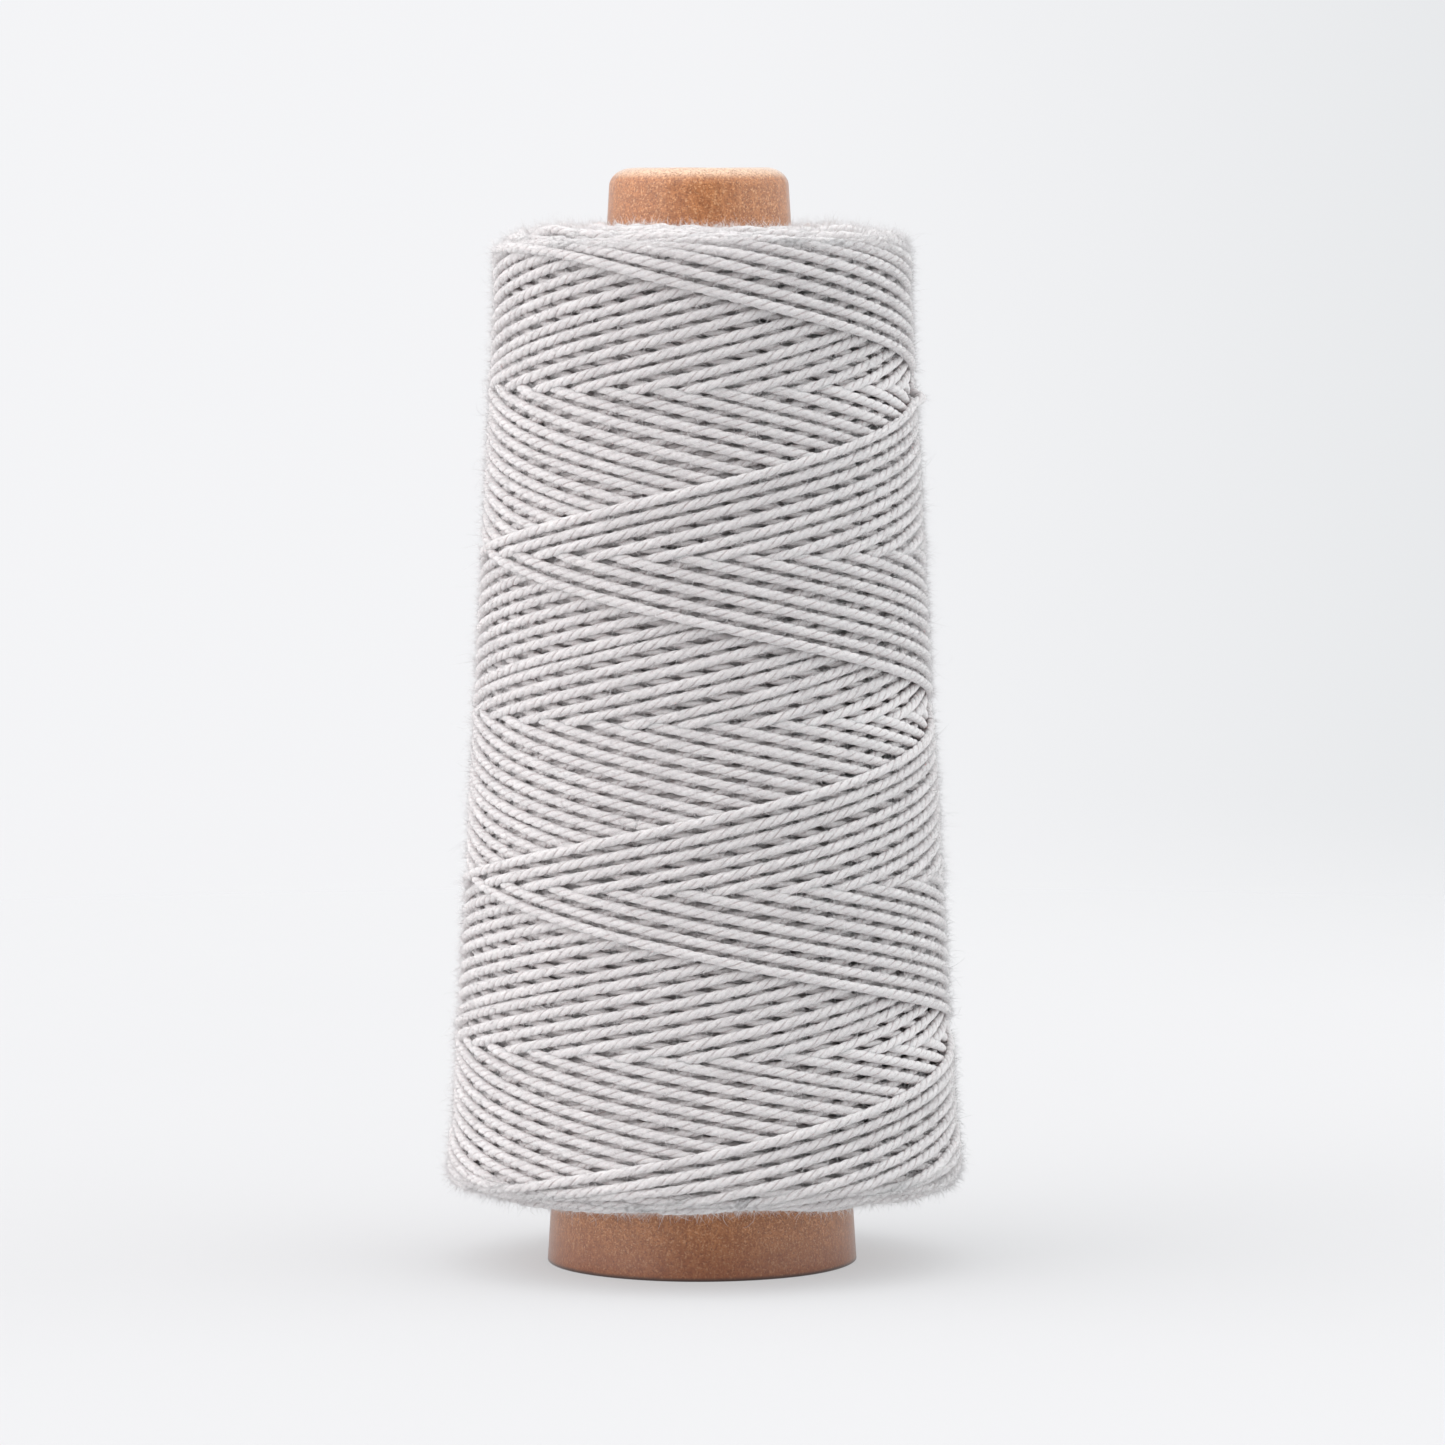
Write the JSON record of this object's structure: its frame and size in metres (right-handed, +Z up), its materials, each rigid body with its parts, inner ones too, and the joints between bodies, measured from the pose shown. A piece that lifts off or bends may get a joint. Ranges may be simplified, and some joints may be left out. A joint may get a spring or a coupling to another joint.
{
  "type": "yarn cone",
  "caption": "Tapered paper cone wound end to end with a thick criss-cross package of pale grey three-ply cotton yarn, open through the middle for a creel peg.",
  "frame": {"origin": "centre of the paper cone's base, on the surface that it stands on", "axes": "+Z up along the cone's axis, towards its nose; -Y is the front, from which the last wrap climbs from left to right"},
  "size_m": [0.08, 0.08, 0.17],
  "materials": {
    "kraft_paper": "matte",
    "cotton_yarn": "matte"
  },
  "bodies": {
    "root": {"paper_cone": "kraft_paper", "yarn_inner_layers": "cotton_yarn", "yarn_middle_layers": "cotton_yarn", "yarn_outer_layers": "cotton_yarn", "yarn_last_wrap": "cotton_yarn"}
  },
  "joints": []
}
